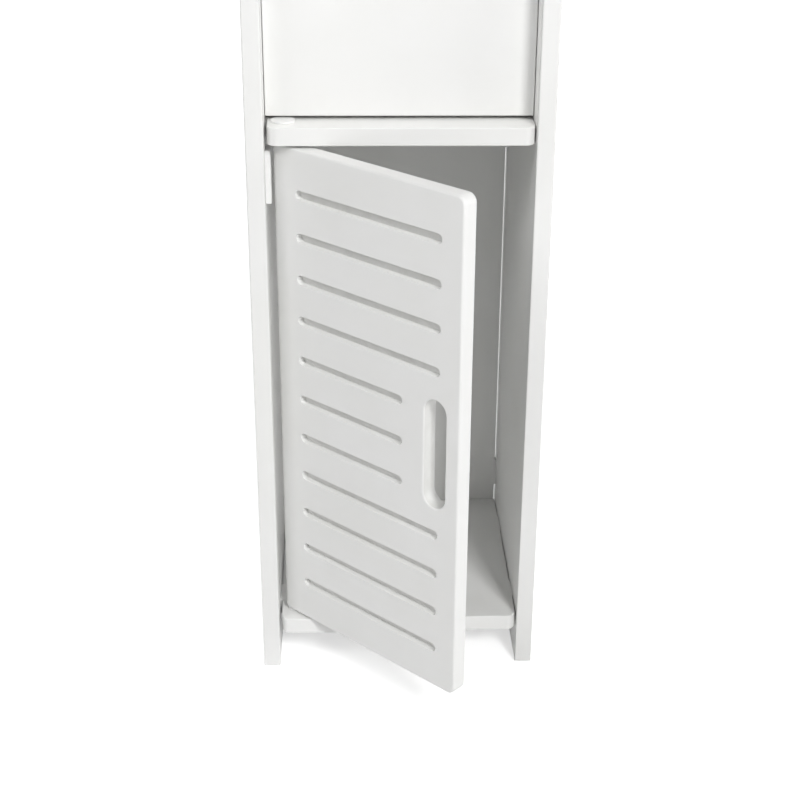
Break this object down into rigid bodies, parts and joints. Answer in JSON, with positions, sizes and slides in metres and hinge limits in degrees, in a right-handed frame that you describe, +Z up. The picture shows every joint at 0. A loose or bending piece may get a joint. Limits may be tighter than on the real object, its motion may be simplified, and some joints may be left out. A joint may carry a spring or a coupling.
{
  "type": "toilet roll storage cabinet",
  "caption": "Slim free-standing white bathroom cabinet for toilet rolls, with a grooved swing door, a drawer and an open shelf bay.",
  "frame": {"origin": "on the floor, under the middle of the box that the cabinet and its door, open at rest, take up", "axes": "+Z up, the cabinet's front faces -Y, +X to the right as seen from the front"},
  "size_m": [0.2, 0.2998, 0.7],
  "materials": {
    "white_board": "white lacquered fibreboard, satin",
    "white_plastic": "white moulded plastic",
    "zinc_steel": "bright zinc plated",
    "ferrite_magnet": "dull dark grey",
    "beech_dowel": "raw beech",
    "glide_plastic": "light grey low-friction plastic"
  },
  "bodies": {
    "carcass": {"side_panel_left": "white_board", "side_panel_right": "white_board", "bottom_board": "white_board", "middle_shelf": "white_board", "upper_shelf": "white_board", "top_board": "white_board", "back_panel": "white_board", "assembly_screws": "zinc_steel", "screw_caps": "white_plastic", "pivot_pin_upper": "white_plastic", "pivot_pin_lower": "white_plastic", "pivot_washer": "white_plastic", "hinge_pad": "white_plastic", "catch_body": "white_plastic", "catch_magnet": "ferrite_magnet", "catch_screws": "zinc_steel"},
    "door": {"door_panel": "white_board", "strike_plate": "zinc_steel", "strike_screws": "zinc_steel"},
    "drawer": {"drawer_front": "white_board", "drawer_side_left": "white_board", "drawer_side_right": "white_board", "drawer_back": "white_board", "drawer_bottom": "white_board", "drawer_dowels": "beech_dowel", "drawer_screws": "zinc_steel", "drawer_glides": "glide_plastic"}
  },
  "joints": [
    {"name": "door_hinge", "type": "hinge", "parent": "carcass", "child": "door", "pos_m": [-0.076, -0.03209, 0.2195], "axis": [0, 0, -1], "range_deg": [-45, 60]},
    {"name": "drawer_slide", "type": "slide", "parent": "carcass", "child": "drawer", "axis": [0, -1, 0], "range_m": [0, 0.12]}
  ]
}
